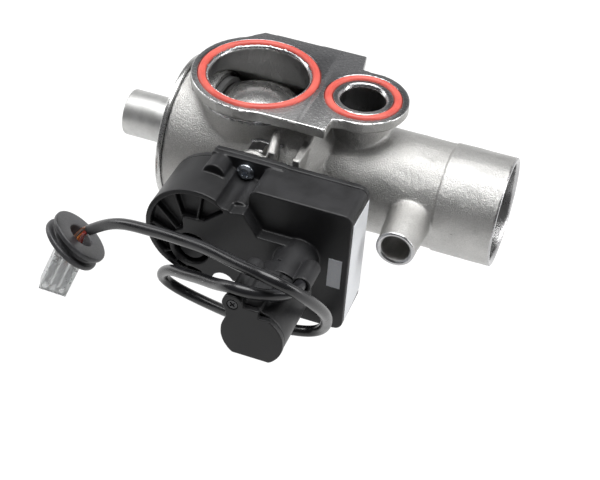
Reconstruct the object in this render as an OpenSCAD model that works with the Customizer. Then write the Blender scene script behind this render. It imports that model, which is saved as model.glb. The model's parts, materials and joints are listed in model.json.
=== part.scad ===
// Diverter valve: a cast three-way ball valve turned by a geared motor drive.
// X runs along the outlet tube, +Y points away from the drive, +Z leaves the port flange.
// The origin is the centre of the large port, in the sealing face of the flange.

/* [Valve body] */
// Depth of the ball axis below the sealing face
axis_depth = 40; // [38:0.5:44]
// Outer radius of the barrel round the ball
barrel_r = 34; // [33:0.5:38]
// Radius of the ball chamber
chamber_r = 31; // [30.5:0.25:32]
// Outer radius of the outlet tube
tube_r = 24.4; // [23:0.1:26]
// Outer radius of the machined end of the outlet tube
tube_end_r = 25; // [24:0.1:27]
// Bore radius of the outlet tube
tube_bore_r = 22.4; // [20:0.1:23]
// Distance from the ball axis to the end of the outlet tube
tube_end_x = 119.5; // [100:0.5:150]
// Distance from the ball axis to the face of the end cap
cap_face_x = 35.5; // [34:0.5:40]

/* [Port flange] */
// Thickness of the flange plate
flange_t = 5; // [4:0.5:8]
// Outer radius of the ring round the large port
large_ring_r = 30.5; // [29:0.5:34]
// Bore radius of the large port
large_bore_r = 22.5; // [20:0.5:23]
// Centre radius of the large O-ring
large_seal_r = 25.75; // [24:0.25:28]
// Outer radius of the ring round the small port
small_ring_r = 20.5; // [19:0.5:24]
// Bore radius of the small port
small_bore_r = 10; // [8:0.5:12]
// Centre radius of the small O-ring
small_seal_r = 15.45; // [14:0.05:17]
// Section diameter of both port O-rings
seal_d = 3.6; // [3:0.1:4]
// Place of the small port along the tube
small_port_x = 48.5; // [44:0.5:56]
// Place of the small port across the tube
small_port_y = 2; // [0:0.5:4]

/* [Side nozzle and spigot] */
// Place of the nozzle along the tube
nozzle_x = 82; // [70:0.5:100]
// Reach of the nozzle from the tube axis
nozzle_reach = 45; // [40:0.5:60]
// Outer radius of the nozzle at its end
nozzle_r = 8.6; // [7:0.1:10]
// Bore radius of the nozzle
nozzle_bore_r = 6.3; // [4:0.1:7]
// Outer radius of the spigot on the end cap
spigot_r = 11; // [9:0.25:13]
// Bore radius of the spigot
spigot_bore_r = 8.5; // [6:0.25:10]
// Reach of the spigot from the ball axis
spigot_reach = 63.5; // [50:0.5:80]

/* [Ball and stem] */
// Radius of the ball
ball_r = 30; // [28:0.25:30]
// Radius of the angled passage through the ball
passage_r = 18; // [15:0.5:20]
// Radius of the stem
stem_r = 6; // [5:0.25:7]
// Running clearance of the stem and gears on their pins
running_fit = 0.08; // [0.04:0.01:0.1]

/* [Drive case] */
// Back face of the drive case, measured from the ball axis
case_back = 41.5; // [40:0.5:46]
// Front face of the gear box
case_front = 65; // [60:0.5:70]
// Front face of the raised plateau
plateau_front = 71; // [68:0.5:76]
// Right side of the gear box
case_right = 67.5; // [60:0.5:80]
// Top side of the gear box, above the ball axis
case_top = 27; // [24:0.5:34]
// Bottom side of the gear box, below the ball axis
case_bottom = 36; // [30:0.5:44]
// Outer radius of the drum round the output gear
drum_r = 23.25; // [23:0.25:28]
// Wall thickness of the drive case
wall = 2.4; // [2:0.1:3]

/* [Gears and motor] */
// Teeth of the output gear
output_teeth = 36; // [36:1:36]
// Teeth of the wheel on the lower idler
low_wheel_teeth = 36; // [36:1:36]
// Teeth of the wheel on the upper idler
high_wheel_teeth = 30; // [30:1:30]
// Teeth of each small gear
pinion_teeth = 12; // [12:1:12]
// Tooth module of the output pair
coarse_module = 1; // [1:0.1:1]
// Tooth module of the two faster pairs
fine_module = 0.8; // [0.8:0.1:0.8]
// Place of the motor axis along the tube
motor_x = 44; // [43:0.5:45]
// Place of the motor axis, above the ball axis
motor_z = -5.25; // [-6:0.25:-4]
// Outer radius of the motor sleeve
sleeve_r = 13.3; // [12:0.1:14]
// Front end of the motor sleeve
sleeve_front = 113; // [100:0.5:120]

/* [Lead] */
// Diameter of the lead's jacket
jacket_d = 5; // [4:0.5:6]
// Diameter of each wire
wire_d = 1.6; // [1.2:0.1:2]
// Outer radius of the grommet
grommet_r = 14.5; // [12:0.5:17]

/* [Hidden] */
$fn = 64;
eps = 0.02;

steel = [0.68, 0.67, 0.65];
bright = [0.80, 0.80, 0.80];
black = [0.16, 0.16, 0.17];
silicone = [0.80, 0.25, 0.20];
rubber = [0.10, 0.10, 0.10];
ptfe = [0.93, 0.93, 0.90];
acetal = [0.88, 0.86, 0.78];
zinc = [0.78, 0.80, 0.84];
board_green = [0.10, 0.35, 0.20];
nylon = [0.92, 0.93, 0.93];
label_white = [0.93, 0.94, 0.96];
gold = [0.80, 0.65, 0.30];

// Barrel and tube, as distances along X
barrel_left = -33;
collar_left = 30.5;
collar_right = 34;
cone_right = 40;
tube_step_x = 91.5;
collar_r = barrel_r + 1.2;
pocket_r = 28.2;
pocket_left = 19;
pocket_right = 30;
edge = 0.6;

// Necks under the flange
large_neck_r = 27.5;
small_neck_r = 13.4;
flange_under = axis_depth - flange_t;
lip = 2.5;
bore_chamfer = 1.2;
groove_depth = 2.7;
groove_half = seal_d / 2 + 0.1;
seal_proud = 0.9;

// Straight parts of the flange outline
plate_back = 34;
plate_front = -28.7;
plate_left = -9.8;
plate_right = 41.5;
back_notch_y = 23;
front_notch_y = -20;

// Stem bore
stem_boss_r = 13;
shoulder_r = 9.2;
shoulder_in = 31;
shoulder_out = 33.6;
washer_out = 34.4;
bush_r = 8;
bush_out = 38.5;
ring_gland_out = 41.4;
slot_w = 6.2;
slot_floor = 25;
tang_gap = 0.1;

// Bracket that carries the drive
bracket_t = 3.5;
bracket_back = case_back - bracket_t;
screw_x = 13.5;
screw_z = 22;
pad_top = 22.5;
pad_left = 8;
pad_right = 15;
bracket_arm = 6;
bracket_disc_r = 18;
brace_t = 3.6;

// Drive case
cover_t = 3;
cover_front = case_back + cover_t;
box_left = 21.6;
box_corner = 4;
cavity_front = case_front - wall;
lug_front = cover_front + 2.4;
rail_left = -3.2;
rail_top = case_top + 0.5;
boss_r = 5;
boss_x = 1.7;
boss_front = 56;
column_r = 6;
column_x = 17.5;
column_z = 13;
notch_r = 5.2;
notch_z = -22.8;
channel_r = 4.6;
channel_z = 22.6;
hub_x = -1.5;
hub_z = -8.5;
hub_pocket_r = 8.2;
hub_ring_r = 10.5;
hub_dome_r = 6;
recess_floor = plateau_front - 4;
drum_bore_r = 20.2;
low_room_r = 15.6;
rim_r = drum_r - wall;
rib_t = 1.1;
rib_first = 83;
rib_step = 25;
rib_count = 8;
hood_x = 45.6;
hood_z = -0.3;
hood_r = 9.1;
hood_front = 88;
hood_bore_r = sleeve_r + 0.1;
hood_floor = 80;
post_x = 35.3;
post_z = 9.9;
post_r = 4;
post_back = 88;
saddle_left = 38;
saddle_right = 46.3;
saddle_top = 9.9;
entry_x = 55.4;
entry_z = 6.5;
entry_r = 4;
entry_back = 77;
entry_floor = 83;
entry_front = 90;

// Gear train, each layer as distances along -Y
low_x = (output_teeth + pinion_teeth) * coarse_module / 2;
idler_span = (low_wheel_teeth + pinion_teeth) * fine_module / 2;
motor_span = (high_wheel_teeth + pinion_teeth) * fine_module / 2;
base_span = norm([motor_x - low_x, motor_z]);
base_angle = atan2(motor_z, motor_x - low_x);
corner_cos = (idler_span ^ 2 + base_span ^ 2 - motor_span ^ 2) / (2 * idler_span * base_span);
high_angle = base_angle + acos(corner_cos);
high_x = low_x + idler_span * cos(high_angle);
high_z = idler_span * sin(high_angle);
motor_angle = atan2(motor_z - high_z, motor_x - high_x);
half_turn = 180;
gap_phase = half_turn / pinion_teeth;
axle_r = 1.5;
gear_bore_r = axle_r + running_fit;
axle_back = 43;
axle_front = 64;
output_back = 46;
output_front = 51;
mid_back = 51.8;
mid_front = 54.8;
fast_back = 55.8;
fast_front = 58.8;
hub_r = 3;
addendum = 0.75;
dedendum = 1.15;
tip_half = 0.42;
root_half = 1.02;

// Cam and switches
drive_r = 5;
flat_depth = 1.2;
hub_front = 61;
output_hub_r = 6.2;
cam_r = 7.4;
lobe_r = 8.3;
lobe_w = 4;
switch_x = -18;
switch_w = 6.5;
switch_len = 12.8;
switch_t = 5;
switch_a_back = cavity_front - 2 * switch_t;
switch_b_back = cavity_front - switch_t;
plunger_r = 0.8;
plunger_hole_r = 1.15;
plunger_depth = 3;
plunger_tip_x = -9.1;
journal_r = 4;
journal_front = 65.5;
journal_wall = 2;

// Motor
can_r = 12.2;
can_back = 80.3;
can_front = 111;
sleeve_wall = 0.9;
sleeve_back = 80.1;
shaft_r = 1;
shaft_back = 55.2;
boss_bore_r = 2.4;
cap_front = sleeve_front + 2.5;
cap_flat = 10.8;
cap_step = 11.5;
lug_r = 4.6;

// Cover screws, as places in X and Z
cover_screw_places = [[62.5, 22], [62.5, -31], [28, 22], [28, -31]];
thread_r = 1.1;
thread_boss_r = 3;
thread_end = case_back + 9;

// Circuit board
board_left = 32;
board_right = 58.5;
board_bottom = -33;
board_top = -17;
board_back = 46;
board_t = 1.6;
board_front = board_back + board_t;
peg_r = 1.1;
peg_inset = 2.6;

// Labels
label_t = 0.15;

// Lead, as points from the ball axis: along the tube, away from the drive and upward
jacket_points = [
    [55.4, -83, 6.5], [55.5, -90, 6.6], [55.4, -95, 7.6], [54, -100, 9.8], [51, -105, 12],
    [47.5, -109.5, 13.6], [43.3, -112.5, 15.6], [38.9, -114, 17.6], [31.8, -113.5, 17.1], [24, -105, 8],
    [13, -96, 0], [2, -86, -10], [-8, -77, -18], [-14, -72, -25], [-18, -68, -32],
    [-16, -65, -38], [-7, -65, -41], [3, -67, -41], [16, -73, -37], [28, -79, -32],
    [39, -79, -32], [49, -75, -34], [55, -71, -37], [60, -71, -34], [64, -77, -23],
    [66, -87, -8], [64, -96, 4], [61, -103, 13], [57, -108, 20], [52, -110, 23],
    [45, -109, 24], [37, -106, 22], [29, -102, 20], [21, -98, 18], [12, -94, 16],
    [4, -91, 13], [-4, -88, 11], [-12, -85, 8], [-21, -82, 5], [-30, -79, 2],
    [-40, -75, -5], [-50, -72, -14]
];
jacket_sides = 12;
wire_sides = 8;
grommet_place = [-59.4, -68, -26.6];
grommet_lean = [0, 224, 34];
plug_lean = [0, 202, 21];
grommet_t = 8;
grommet_waist_r = 11.5;
grommet_flange_t = 2.4;
grommet_hole_r = 6.2;
plug_gap = 8.5;
plug_len = 22;
plug_pitch = 4;
plug_hole = 3;
terminal_w = 2.2;
terminal_back = plug_gap + 5;
plug_w = 13;
plug_d = 9;
wire_spread = 1.1;
plug_axis = turned_z(plug_lean);
plug_side = turned_x(plug_lean);
grommet_axis = turned_z(grommet_lean);

function turned_z(a) = [sin(a[1]) * cos(a[2]), sin(a[1]) * sin(a[2]), cos(a[1])];
function turned_x(a) = [cos(a[1]) * cos(a[2]), cos(a[1]) * sin(a[2]), -sin(a[1])];
function unit(v) = v / norm(v);
function along(p, i) = unit(p[min(i + 1, len(p) - 1)] - p[max(i - 1, 0)]);
function square_to(n, t) = unit(n - (n * t) * t);
function frames(p, n, i = 0) =
    i == len(p) ? [] : let(m = square_to(n, along(p, i))) concat([m], frames(p, m, i + 1));
function ring(c, n, t, r, sides) =
    [for (k = [0 : sides - 1])
        c + r * (cos(360 * k / sides) * n + sin(360 * k / sides) * cross(t, n))];
function polar(r, a) = [r * cos(a), r * sin(a)];
function tooth(a, m, r) =
    let(root = r - dedendum * m, tip = r + addendum * m,
        wide = root_half * m / r * 180 / PI, narrow = tip_half * m / r * 180 / PI)
    [polar(root, a - wide), polar(tip, a - narrow), polar(tip, a + narrow), polar(root, a + wide)];
function gear_outline(teeth, m, phase) =
    [for (k = [0 : teeth - 1]) each tooth(phase + 360 * k / teeth, m, teeth * m / 2)];

// Lowers a piece drawn about the ball centre to its place under the flange
module at_ball() {
    translate([0, 0, -axis_depth]) children();
}

// A cylinder along Y between two distances from the ball axis, both toward the drive
module toward_drive(x, z, back, front, r, r_front = -1) {
    translate([x, -back, z]) rotate([90, 0, 0])
        cylinder(h = front - back, r1 = r, r2 = r_front < 0 ? r : r_front);
}

// A flat outline in X and Z, between two distances toward the drive
module slab(back, front) {
    translate([0, -back, 0]) rotate([90, 0, 0]) linear_extrude(front - back) children();
}

// A solid of revolution about X from points given as distance along X and radius
module turned(points) {
    rotate([0, 90, 0]) rotate_extrude() polygon([for (p = points) [p[1], p[0]]]);
}

module ring_seal(r, d) {
    rotate_extrude() translate([r, 0]) circle(d = d, $fn = 32);
}

module round_box(left, right, low, high, r) {
    translate([left + r, low]) square([right - left - 2 * r, high - low]);
    translate([left, low + r]) square([right - left, high - low - 2 * r]);
    for (x = [left + r, right - r], z = [low + r, high - r]) translate([x, z]) circle(r);
}

module tube(p, d, sides) {
    n = frames(p, [0.1, 0.2, 1]);
    rings = len(p);
    points = [for (i = [0 : rings - 1]) each ring(p[i], n[i], along(p, i), d / 2, sides)];
    skin = [for (i = [0 : rings - 2], k = [0 : sides - 1])
        let(a = i * sides + k, b = i * sides + (k + 1) % sides)
        each [[a, b + sides, b], [a, a + sides, b + sides]]];
    first = [for (k = [0 : sides - 1]) k];
    last = [for (k = [sides - 1 : -1 : 0]) (rings - 1) * sides + k];
    polyhedron(points, concat([first], skin, [last]));
}

// ---- Valve body ----

module body_outside() {
    turned([
        [barrel_left, 0], [barrel_left, barrel_r], [collar_left, barrel_r],
        [collar_left, collar_r], [collar_right, collar_r], [cone_right, tube_r],
        [tube_step_x, tube_r], [tube_step_x + edge, tube_end_r], [tube_end_x, tube_end_r],
        [tube_end_x, 0]
    ]);
}

module body_inside() {
    turned([
        [barrel_left - 1, 0], [barrel_left - 1, chamber_r], [pocket_left - 2, chamber_r],
        [pocket_left, pocket_r], [pocket_right, pocket_r], [pocket_right, tube_bore_r],
        [tube_end_x - 1, tube_bore_r], [tube_end_x + 1, tube_bore_r + 2], [tube_end_x + 1, 0]
    ]);
}

module flange_outline() {
    circle(large_ring_r);
    translate([small_port_x, small_port_y]) circle(small_ring_r);
    polygon([
        [plate_left, plate_front], [plate_right, plate_front], [plate_right, front_notch_y],
        [small_port_x, front_notch_y + 2], [small_port_x, back_notch_y - 1],
        [plate_right, back_notch_y], [plate_right - 2, plate_back], [plate_left, plate_back - 1],
        [plate_left - 9, plate_back - 11]
    ]);
}

module flange() {
    translate([0, 0, flange_under]) linear_extrude(flange_t) flange_outline();
    translate([0, 0, flange_under - lip])
        cylinder(h = lip, r1 = large_neck_r, r2 = large_ring_r - 0.5);
    cylinder(h = flange_under, r = large_neck_r);
    translate([small_port_x, small_port_y, 0]) cylinder(h = flange_under, r = small_neck_r);
    translate([small_port_x, small_port_y, flange_under - lip / 2])
        cylinder(h = lip / 2, r1 = small_ring_r - 1.5, r2 = small_ring_r - 0.5);
}

module port_cut(r, seal_r, depth) {
    translate([0, 0, axis_depth - depth]) cylinder(h = depth + 1, r = r);
    translate([0, 0, axis_depth - bore_chamfer])
        cylinder(h = bore_chamfer + eps, r1 = r, r2 = r + bore_chamfer);
    translate([0, 0, axis_depth - groove_depth]) difference() {
        cylinder(h = groove_depth + 1, r = seal_r + groove_half);
        cylinder(h = groove_depth + 1, r = seal_r - groove_half);
    }
}

module bracket() {
    slab(bracket_back, case_back) {
        circle(bracket_disc_r);
        for (s = [-1, 1]) {
            translate([screw_x, s * screw_z]) circle(bracket_arm);
            polygon([
                [-8, s * 12], [screw_x - 6, s * screw_z], [screw_x + 6, s * screw_z], [16, s * 6]
            ]);
        }
    }
    toward_drive(0, 0, 20, bracket_back + eps, stem_boss_r);
    slab(24, bracket_back + eps) translate([pad_left, 8]) square([pad_right - pad_left, pad_top - 8]);
}

module braces() {
    slab(22, bracket_back + eps) translate([collar_left, 4]) square([brace_t, 23]);
    translate([19.5, -30, 20]) rotate([12, 0, 10]) cube([brace_t, 14, 20], center = true);
}

module nozzle() {
    toward_drive(nozzle_x, 0, 18, nozzle_reach, nozzle_r + 1.6, nozzle_r);
    toward_drive(nozzle_x, 0, 20, 27, nozzle_r + 1.2, nozzle_r + 1.1);
}

module stem_bore() {
    toward_drive(0, 0, 20, shoulder_out, shoulder_r + 0.1);
    toward_drive(0, 0, 20, washer_out, shoulder_r + 0.1);
    toward_drive(0, 0, 20, case_back + 1, bush_r);
}

module valve_body() color(steel) at_ball() difference() {
    union() {
        body_outside();
        flange();
        bracket();
        braces();
        nozzle();
    }
    body_inside();
    port_cut(large_bore_r, large_seal_r, axis_depth);
    translate([small_port_x, small_port_y, 0]) port_cut(small_bore_r, small_seal_r, axis_depth);
    toward_drive(nozzle_x, 0, 10, nozzle_reach + 1, nozzle_bore_r);
    toward_drive(nozzle_x, 0, nozzle_reach - 1, nozzle_reach + eps, nozzle_bore_r, nozzle_bore_r + 1);
    stem_bore();
    for (s = [-1, 1]) toward_drive(screw_x, s * screw_z, bracket_back - 6, case_back + 1, 1.6);
}

// ---- End cap, seats and seals ----

module end_cap() color(bright) at_ball() turned([
    [-cap_face_x, spigot_bore_r], [-spigot_reach + 3, spigot_bore_r],
    [-spigot_reach, spigot_bore_r + 0.6], [-spigot_reach, spigot_r - 1.4],
    [-spigot_reach + 1.4, spigot_r], [-cap_face_x - 1, spigot_r], [-cap_face_x, spigot_r + 1],
    [-cap_face_x, barrel_r + 1 - edge], [-cap_face_x + edge, barrel_r + 1],
    [barrel_left, barrel_r + 1], [barrel_left, chamber_r - 0.05], [-31, chamber_r - 0.05],
    [-31, chamber_r - 2.6], [-28.4, chamber_r - 2.6], [-28.4, chamber_r - 0.05],
    [-pocket_left, chamber_r - 0.05], [-pocket_left, pocket_r], [-pocket_right, pocket_r],
    [-pocket_right, tube_bore_r], [-cap_face_x + wall, tube_bore_r - 2],
    [-cap_face_x + wall, spigot_bore_r]
]);

module cap_seal() color(rubber) at_ball() rotate([0, 90, 0])
    translate([0, 0, -29.7]) ring_seal(chamber_r - 1.35, 2.4);

module seat(side) {
    rotate([0, side < 0 ? 180 : 0, 0]) turned([
        [22.6, 20.8], [16.5, 25.9], [16.5, pocket_r - 0.05], [28, pocket_r - 0.05], [28, 20.8]
    ]);
}

module seat_right() color(ptfe) at_ball() seat(1);

module seat_left() color(ptfe) at_ball() seat(-1);

module seat_springs() color(rubber) at_ball() for (turn = [0, 180]) rotate([0, turn, 0])
    turned([[28, 23], [28, 27], [pocket_right, 27], [pocket_right, 23]]);

module ball() color(bright) at_ball() difference() {
    sphere(ball_r, $fn = 96);
    rotate([0, 90, 0]) cylinder(h = ball_r + 1, r = passage_r);
    rotate([180, 0, 0]) cylinder(h = ball_r + 1, r = passage_r);
    sphere(passage_r, $fn = 96);
    translate([-slot_w / 2, -ball_r - 1, -ball_r])
        cube([slot_w, ball_r + 1 - slot_floor, 2 * ball_r]);
}

module drive_flat() {
    translate([drive_r - flat_depth, -hub_front - 1, -stem_r])
        cube([2, hub_front + 1 - output_back, 2 * stem_r]);
}

module stem() color(bright) at_ball() difference() {
    union() {
        translate([-slot_w / 2 + tang_gap, -shoulder_in - eps, -7])
            cube([slot_w - 2 * tang_gap, shoulder_in - slot_floor - tang_gap, 14]);
        toward_drive(0, 0, shoulder_in, shoulder_out, shoulder_r - 0.1);
        toward_drive(0, 0, shoulder_out, output_back, stem_r);
        toward_drive(0, 0, output_back, hub_front, drive_r);
    }
    drive_flat();
}

module thrust_washer() color(ptfe) at_ball() difference() {
    toward_drive(0, 0, shoulder_out + 0.1, washer_out, shoulder_r);
    toward_drive(0, 0, shoulder_in, case_back, stem_r + running_fit);
}

module stem_bush() color(ptfe) at_ball() difference() {
    toward_drive(0, 0, washer_out, bush_out, bush_r);
    toward_drive(0, 0, shoulder_in, case_back, stem_r + running_fit);
}

module stem_rings() color(rubber) at_ball() for (y = [bush_out, (bush_out + ring_gland_out) / 2])
    difference() {
        toward_drive(0, 0, y, y + 1.4, bush_r);
        toward_drive(0, 0, shoulder_in, case_back, stem_r + running_fit);
    }

module large_port_ring() color(silicone)
    translate([0, 0, -groove_depth + seal_d / 2]) ring_seal(large_seal_r, seal_d);

module small_port_ring() color(silicone)
    translate([small_port_x, small_port_y, -groove_depth + seal_d / 2])
        ring_seal(small_seal_r, seal_d);

// ---- Drive case ----

module case_outline() {
    circle(drum_r);
    translate([column_x, column_z]) circle(column_r);
    translate([12, -17]) square([14, 29]);
    round_box(box_left, case_right, -case_bottom, case_top, box_corner);
}

module rail_outline() {
    translate([rail_left + 2, 10]) square([box_left + 6 - rail_left, rail_top - 10]);
    translate([rail_left, 10]) square([4, rail_top - 12]);
    translate([rail_left + 2, rail_top - 2]) circle(2);
    translate([10, -rail_top]) square([box_left, 12]);
}

module plateau_outline() {
    circle(drum_r);
    polygon([
        [12, 16.4], [box_left, 18.3], [28.4, 8], [hood_x, hood_z + hood_r - 0.7],
        [hood_x + 2, -19.6], [26, -19.6], [8, -21]
    ]);
}

module plateau_face() {
    translate([hub_x, hub_z]) circle(hub_ring_r);
    polygon([
        [-6, 8], [4, 8.4], [13, 16.4], [24, 17], [30, 6], [30, -19.6], [8, -21], [-4, -18]
    ]);
}

module cavity_outline() {
    circle(drum_bore_r);
    translate([low_x, 0]) circle(low_room_r);
    round_box(box_left + wall, case_right - wall, -case_bottom + wall, case_top - wall, 2);
}

module drum_ribs() {
    slab(recess_floor, plateau_front - 1) intersection() {
        circle(rim_r + eps);
        for (k = [0 : rib_count - 1]) translate([hub_x, hub_z]) rotate(rib_first + rib_step * k)
            translate([hub_ring_r - 1, -rib_t / 2]) square([2 * drum_r, rib_t]);
    }
}

module drum_recess() {
    slab(recess_floor, plateau_front + 1) difference() {
        circle(rim_r);
        plateau_face();
    }
}

module case_solid() {
    slab(cover_front, case_front) case_outline();
    slab(cover_front, lug_front) rail_outline();
    slab(case_front - eps, plateau_front) plateau_outline();
    toward_drive(boss_x, rail_top - boss_r, cover_front, boss_front, boss_r);
    toward_drive(hood_x, hood_z, case_front - eps, hood_front, hood_r);
    toward_drive(entry_x, entry_z, entry_back, entry_front, entry_r);
}

module gear_case() color(black) at_ball() difference() {
    union() {
        difference() {
            case_solid();
            drum_recess();
            toward_drive(hub_x, hub_z, plateau_front - 5, plateau_front + 1, hub_pocket_r);
        }
        drum_ribs();
        toward_drive(hub_x, hub_z, plateau_front - 5 - eps, plateau_front - 1, hub_dome_r);
    }
    difference() {
        slab(cover_front - 1, cavity_front) cavity_outline();
        for (p = cover_screw_places) toward_drive(p[0], p[1], case_back, case_front, thread_boss_r);
    }
    for (p = cover_screw_places) toward_drive(p[0], p[1], case_back, thread_end, thread_r);
    toward_drive(motor_x, motor_z, hood_floor, sleeve_front + 1, hood_bore_r);
    toward_drive(motor_x, motor_z, cavity_front - 1, hood_floor + 1, boss_bore_r + 0.2);
    toward_drive(entry_x, entry_z, entry_floor, entry_front + 1, jacket_d / 2);
    toward_drive(screw_x, notch_z, lug_front, plateau_front + 1, notch_r);
    toward_drive(screw_x, channel_z, lug_front, plateau_front + 1, channel_r);
    for (s = [-1, 1]) toward_drive(screw_x, s * screw_z, case_back, lug_front + 1, 2.2);
    toward_drive(0, 0, cavity_front - 1, journal_front, journal_r + running_fit);
    toward_drive(low_x, 0, cavity_front - 1, axle_front, axle_r);
    toward_drive(high_x, high_z, cavity_front - 1, axle_front, axle_r);
}

module board_pegs() {
    for (x = [board_left + peg_inset, board_right - peg_inset]) {
        toward_drive(x, board_top - peg_inset, cover_front - eps, board_back, 2 * peg_r);
        toward_drive(x, board_top - peg_inset, cover_front - eps, board_front, peg_r);
    }
}

module back_cover() color(black) at_ball() difference() {
    union() {
        slab(case_back, cover_front) {
            case_outline();
            rail_outline();
        }
        board_pegs();
    }
    for (p = cover_screw_places) toward_drive(p[0], p[1], case_back - 1, cover_front + 1, thread_r);
    toward_drive(0, 0, case_back - 1, cover_front + 1, stem_r + 1.5);
    toward_drive(low_x, 0, axle_back, cover_front + 1, axle_r);
    toward_drive(high_x, high_z, axle_back, cover_front + 1, axle_r);
    for (s = [-1, 1]) toward_drive(screw_x, s * screw_z, case_back - 1, cover_front + 1, 2.2);
}

// ---- Gear train ----

module gear_layer(x, z, teeth, m, phase, back, front) {
    translate([x, 0, z]) slab(back, front) polygon(gear_outline(teeth, m, phase));
}

module output_gear() color(acetal) at_ball() difference() {
    union() {
        gear_layer(0, 0, output_teeth, coarse_module, 0, output_back, output_front);
        toward_drive(0, 0, output_front - eps, hub_front, output_hub_r);
        toward_drive(0, 0, hub_front, journal_front - 0.3, journal_r);
    }
    difference() {
        toward_drive(0, 0, output_back - 1, hub_front, drive_r);
        drive_flat();
    }
}

module cam_disc(back, front, angle) {
    difference() {
        union() {
            toward_drive(0, 0, back, front, cam_r);
            slab(back, front) intersection() {
                circle(lobe_r);
                rotate(angle) translate([0, -lobe_w / 2]) square([lobe_r, lobe_w]);
            }
        }
        toward_drive(0, 0, back - 1, front + 1, output_hub_r);
    }
}

module switch_cam() color(nylon) at_ball() {
    cam_disc(output_front, switch_b_back, 200);
    cam_disc(switch_b_back - eps, hub_front, 340);
}

module low_idler() color(acetal) at_ball() difference() {
    union() {
        gear_layer(low_x, 0, pinion_teeth, coarse_module, half_turn + gap_phase, output_back, mid_back);
        gear_layer(low_x, 0, low_wheel_teeth, fine_module, high_angle, mid_back - eps, mid_front);
        toward_drive(low_x, 0, cover_front + 0.3, cavity_front - 0.3, hub_r);
    }
    toward_drive(low_x, 0, case_back, axle_front + 1, gear_bore_r);
}

module high_idler() color(acetal) at_ball() difference() {
    union() {
        gear_layer(high_x, high_z, pinion_teeth, fine_module,
            high_angle + half_turn + gap_phase, mid_back - 0.4, fast_back);
        gear_layer(high_x, high_z, high_wheel_teeth, fine_module, motor_angle,
            fast_back - eps, fast_front);
        toward_drive(high_x, high_z, cover_front + 0.3, cavity_front - 0.3, hub_r);
    }
    toward_drive(high_x, high_z, case_back, axle_front + 1, gear_bore_r);
}

module gear_axles() color(bright) at_ball() {
    toward_drive(low_x, 0, axle_back, axle_front, axle_r);
    toward_drive(high_x, high_z, axle_back, axle_front, axle_r);
}

// ---- Motor ----

module motor_pinion() color(gold) at_ball() difference() {
    gear_layer(motor_x, motor_z, pinion_teeth, fine_module,
        motor_angle + half_turn + gap_phase, fast_back - 0.3, fast_front + 1);
    toward_drive(motor_x, motor_z, cover_front, hood_front, shaft_r);
}

module motor_shaft() color(bright) at_ball() {
    toward_drive(motor_x, motor_z, shaft_back, can_front - 2, shaft_r);
    toward_drive(motor_x, motor_z, can_back + 3, can_front - 5, can_r - 3);
}

module motor_can() color(zinc) at_ball() difference() {
    union() {
        toward_drive(motor_x, motor_z, can_back, can_front, can_r);
        toward_drive(motor_x, motor_z, cavity_front + 0.5, can_back + eps, boss_bore_r);
    }
    toward_drive(motor_x, motor_z, can_back + 1.5, can_front - 1.5, can_r - 1);
    toward_drive(motor_x, motor_z, case_back, can_front + 1, shaft_r + running_fit);
}

module motor_sleeve() color(black) at_ball() difference() {
    union() {
        toward_drive(motor_x, motor_z, sleeve_back, sleeve_front, sleeve_r);
        toward_drive(post_x, post_z, post_back + 1, sleeve_front, post_r);
        slab(post_back + 1, sleeve_front) translate([saddle_left - 3, 3])
            square([saddle_right - saddle_left + 3, saddle_top - 3]);
    }
    toward_drive(motor_x, motor_z, case_front, sleeve_front + 1, sleeve_r - sleeve_wall);
    toward_drive(post_x, post_z, sleeve_front - 8, sleeve_front + 1, 1.1);
}

module cap_outline() {
    intersection() {
        translate([motor_x, motor_z]) circle(sleeve_r + 0.2);
        translate([motor_x - 20, motor_z - cap_flat]) square([40, cap_flat + cap_step]);
    }
    translate([saddle_left, motor_z + cap_step - 2])
        square([saddle_right - saddle_left, saddle_top - motor_z - cap_step + 2]);
    translate([post_x, post_z]) circle(lug_r);
    polygon([
        [post_x - 3.6, post_z], [post_x + 2, post_z + 3], [motor_x - 4, motor_z + cap_step - 1],
        [motor_x, motor_z], [motor_x - 11, motor_z + 4]
    ]);
}

module motor_cap() color(black) at_ball() difference() {
    slab(sleeve_front, cap_front) cap_outline();
    toward_drive(post_x, post_z, sleeve_front - 1, cap_front + 1, 1.4);
    toward_drive(post_x, post_z, cap_front - 1.2, cap_front + 1, 2.4);
}

module motor_cap_screw() color(black) at_ball() difference() {
    union() {
        toward_drive(post_x, post_z, cap_front - 1.2, cap_front - 0.1, 2.2);
        toward_drive(post_x, post_z, sleeve_front - 7, cap_front - 1.2 + eps, 1.1);
    }
    cross_recess(post_x, post_z, cap_front - 0.8, cap_front, 2.6, 0.5);
}

// ---- Screws ----

module cross_recess(x, z, back, front, w, t) {
    for (a = [45, 135]) translate([x, 0, z]) slab(back, front)
        rotate(a) square([w, t], center = true);
}

module mount_screws() color(zinc) at_ball() for (s = [-1, 1]) difference() {
    union() {
        toward_drive(screw_x, s * screw_z, lug_front, lug_front + 1.6, 3.9);
        toward_drive(screw_x, s * screw_z, lug_front + 1.6 - eps, lug_front + 2.6, 3.9, 2.6);
        toward_drive(screw_x, s * screw_z, bracket_back - 4, lug_front + eps, 1.6);
    }
    cross_recess(screw_x, s * screw_z, lug_front + 1, lug_front + 3, 3.6, 0.8);
}

module cover_screws() color(zinc) at_ball() for (p = cover_screw_places) {
    toward_drive(p[0], p[1], case_back - 1.4, case_back, 2.4);
    toward_drive(p[0], p[1], case_back - eps, thread_end, thread_r);
}

// ---- Electrics ----

module circuit_board() color(board_green) at_ball() difference() {
    translate([board_left, -board_back - board_t, board_bottom])
        cube([board_right - board_left, board_t, board_top - board_bottom]);
    for (x = [board_left + peg_inset, board_right - peg_inset])
        toward_drive(x, board_top - peg_inset, board_back - 1, board_front + 1, peg_r);
}

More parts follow.
